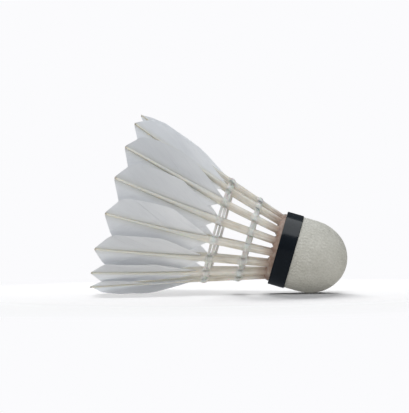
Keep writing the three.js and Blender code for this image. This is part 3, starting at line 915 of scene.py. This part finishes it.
def floor():
    me = bpy.data.meshes.new("floor")
    n = 24
    v, f = [(0, 0, 0)], []
    radii = [0.05 * 1.45**i for i in range(14)]
    for r in radii:
        for i in range(n):
            a = i / n * 2 * math.pi
            v.append((r * math.cos(a), r * math.sin(a), 0))
    for i in range(n):
        f.append((0, 1 + i, 1 + (i + 1) % n))
    for j in range(len(radii) - 1):
        for i in range(n):
            a, b = 1 + j * n + i, 1 + j * n + (i + 1) % n
            f.append((a, a + n, b + n, b))
    me.from_pydata(v, [], f)
    o = bpy.data.objects.new("floor", me)
    bpy.context.scene.collection.objects.link(o)
    m = Nodes("floor_paper")
    co = m.add("ShaderNodeTexCoord").outputs["Object"]
    grain = m.noise(co, 900.0, 2.0, 0.5)
    base = m.ramp(grain, [(0.3, FLOOR_TONE[0]), (0.7, FLOOR_TONE[1])])
    path = m.add("ShaderNodeLightPath")
    lit = m.add("ShaderNodeBsdfDiffuse")
    m.put(lit.inputs["Color"], base)
    # what the shuttle receives from the floor: part of it shaded as the floor is, part an even glow, and a dim glow in
    # its reflections
    duller = m.mix(1.0, base, (FLOOR_BOUNCE, FLOOR_BOUNCE * 0.99, FLOOR_BOUNCE * 0.965), blend="MULTIPLY")
    shaded = m.add("ShaderNodeBsdfDiffuse")
    m.put(shaded.inputs["Color"], m.mix(path.outputs["Is Glossy Ray"], duller, (0.0, 0.0, 0.0)))
    even = m.add("ShaderNodeEmission")
    m.put(even.inputs["Color"], m.mix(path.outputs["Is Glossy Ray"], FLOOR_GLOW, (0.10, 0.105, 0.115)))
    glow = m.add("ShaderNodeAddShader")
    m.link(shaded.outputs[0], glow.inputs[0])
    m.link(even.outputs[0], glow.inputs[1])
    # far away the floor turns into the backdrop
    far = m.add("ShaderNodeEmission")
    far.inputs["Color"].default_value = (*WHITE, 1)
    far.inputs["Strength"].default_value = 1.0
    length = m.add("ShaderNodeVectorMath", operation="LENGTH")
    m.put(length.inputs[0], co)
    seen = m.add("ShaderNodeMixShader")
    m.put(seen.inputs[0], m.mapped(length.outputs["Value"], 0.085, 0.15, 0.0, 1.0))
    m.link(lit.outputs[0], seen.inputs[1])
    m.link(far.outputs[0], seen.inputs[2])
    both = m.add("ShaderNodeMixShader")
    m.put(both.inputs[0], path.outputs["Is Camera Ray"])
    m.link(glow.outputs[0], both.inputs[1])
    m.link(seen.outputs[0], both.inputs[2])
    m.link(both.outputs[0], m.out.inputs["Surface"])
    m.mat.cycles.emission_sampling = "NONE"
    me.materials.append(m.mat)


FLOOR_TONE = ((0.1415, 0.1415, 0.1422), (0.1443, 0.1443, 0.145))  # under the floor lamps this is studio white
FLOOR_BOUNCE = 0.72
FLOOR_GLOW = (0.28, 0.28, 0.273)
floor()


def world():
    w = bpy.data.worlds.new("studio")
    bpy.context.scene.world = w
    w.use_nodes = True
    t = w.node_tree
    t.nodes.clear()
    out = t.nodes.new("ShaderNodeOutputWorld")
    path = t.nodes.new("ShaderNodeLightPath")
    co = t.nodes.new("ShaderNodeTexCoord")
    sep = t.nodes.new("ShaderNodeSeparateXYZ")
    t.links.new(co.outputs["Generated"], sep.inputs[0])
    ramp = t.nodes.new("ShaderNodeValToRGB")
    up = t.nodes.new("ShaderNodeMapRange")
    t.links.new(sep.outputs["Z"], up.inputs["Value"])
    up.inputs["From Min"].default_value, up.inputs["From Max"].default_value = -1, 1
    t.links.new(up.outputs[0], ramp.inputs["Fac"])
    e = ramp.color_ramp.elements
    e[0].position, e[0].color = 0.45, (0.27, 0.265, 0.26, 1)
    e[1].position, e[1].color = 1.0, (0.52, 0.54, 0.57, 1)
    x = e.new(0.60)
    x.color = (0.36, 0.365, 0.37, 1)
    soft = t.nodes.new("ShaderNodeBackground")
    t.links.new(ramp.outputs["Color"], soft.inputs["Color"])
    dark = t.nodes.new("ShaderNodeBackground")  # what glossy surfaces see of the room
    r2 = t.nodes.new("ShaderNodeValToRGB")
    t.links.new(up.outputs[0], r2.inputs["Fac"])
    e = r2.color_ramp.elements
    e[0].position, e[0].color = 0.50, (0.03, 0.03, 0.032, 1)
    e[1].position, e[1].color = 0.90, (0.10, 0.115, 0.13, 1)
    t.links.new(r2.outputs["Color"], dark.inputs["Color"])
    white = t.nodes.new("ShaderNodeBackground")
    white.inputs["Color"].default_value = (*WHITE, 1)
    m1 = t.nodes.new("ShaderNodeMixShader")
    t.links.new(path.outputs["Is Glossy Ray"], m1.inputs[0])
    t.links.new(soft.outputs[0], m1.inputs[1])
    t.links.new(dark.outputs[0], m1.inputs[2])
    m2 = t.nodes.new("ShaderNodeMixShader")
    t.links.new(path.outputs["Is Camera Ray"], m2.inputs[0])
    t.links.new(m1.outputs[0], m2.inputs[1])
    t.links.new(white.outputs[0], m2.inputs[2])
    t.links.new(m2.outputs[0], out.inputs["Surface"])


world()


def area(name, location, target, sx, sy, power, colour, glossy=True):
    li = bpy.data.lights.new(name, "AREA")
    li.shape, li.size, li.size_y = "RECTANGLE", sx, sy
    li.energy, li.color = power, colour
    o = bpy.data.objects.new(name, li)
    bpy.context.scene.collection.objects.link(o)
    o.location = location
    o.rotation_euler = (Vector(target) - Vector(location)).to_track_quat("-Z", "Y").to_euler()
    o.visible_camera = False
    o.visible_glossy = glossy
    return o


area("softbox_top", (0.0, -0.16, 0.70), (0.0, -0.16, 0.0), 1.15, 0.95, 3.5, (0.955, 0.985, 1.0))
area("key_back", (-0.05, 0.84, 0.62), (0.0, 0.0, 0.02), 0.75, 0.56, 4.5, (0.97, 0.985, 1.0), glossy=False)
area("fill_front", (-0.35, -1.0, 0.42), (0.0, 0.0, 0.03), 0.9, 0.6, 1.9, (0.985, 0.99, 1.0), glossy=False)
area("fill_open_end", (-0.95, -0.10, 0.22), (-0.03, 0.0, 0.03), 0.7, 0.5, 2.4, (0.99, 0.99, 0.985), glossy=False)


def floor_lamp(name, location, sx, sy, power, blockers=()):
    """A lamp that lights the floor alone; with blockers, only those pieces throw its shadow."""
    o = area(name, location, (0.0, 0.0, 0.0), sx, sy, power, (1.0, 1.0, 1.0), glossy=False)
    only = bpy.data.collections.new(name + "_lit")
    only.objects.link(bpy.data.objects["floor"])
    o.light_linking.receiver_collection = only
    if blockers:
        shade = bpy.data.collections.new(name + "_shade")
        for b in blockers:
            shade.objects.link(PIECES[b])
        o.light_linking.blocker_collection = shade


floor_lamp("floor_wide", (0.0, -0.42, 1.56), 0.60, 0.40, 44.0)
floor_lamp("floor_cork", (0.03, 1.38, 0.80), 0.80, 0.45, 225.0, ("leather_cover", "ribbon_band", "glue_ring", "thread_ring_lower"))


def camera():
    data = bpy.data.cameras.new("camera")
    o = bpy.data.objects.new("camera", data)
    bpy.context.scene.collection.objects.link(o)
    data.sensor_width = 36.0
    data.lens = 135.13
    data.clip_start, data.clip_end = 0.05, 20
    yaw, pitch, roll = math.radians(-2.776), math.radians(0.669), math.radians(-0.704)
    fwd = Vector((math.sin(yaw) * math.cos(pitch), math.cos(yaw) * math.cos(pitch), math.sin(pitch)))
    right = Vector((math.cos(yaw), -math.sin(yaw), 0))
    up = right.cross(fwd)
    r2 = math.cos(roll) * right + math.sin(roll) * up
    u2 = -math.sin(roll) * right + math.cos(roll) * up
    m = Matrix((r2, u2, -fwd)).transposed().to_4x4()
    m.translation = Vector((0.02196, -0.55905, 0.02496))
    o.matrix_world = m
    bpy.context.scene.camera = o


camera()
bpy.context.scene.view_settings.view_transform = "Standard"
bpy.context.scene.view_settings.look = "None"
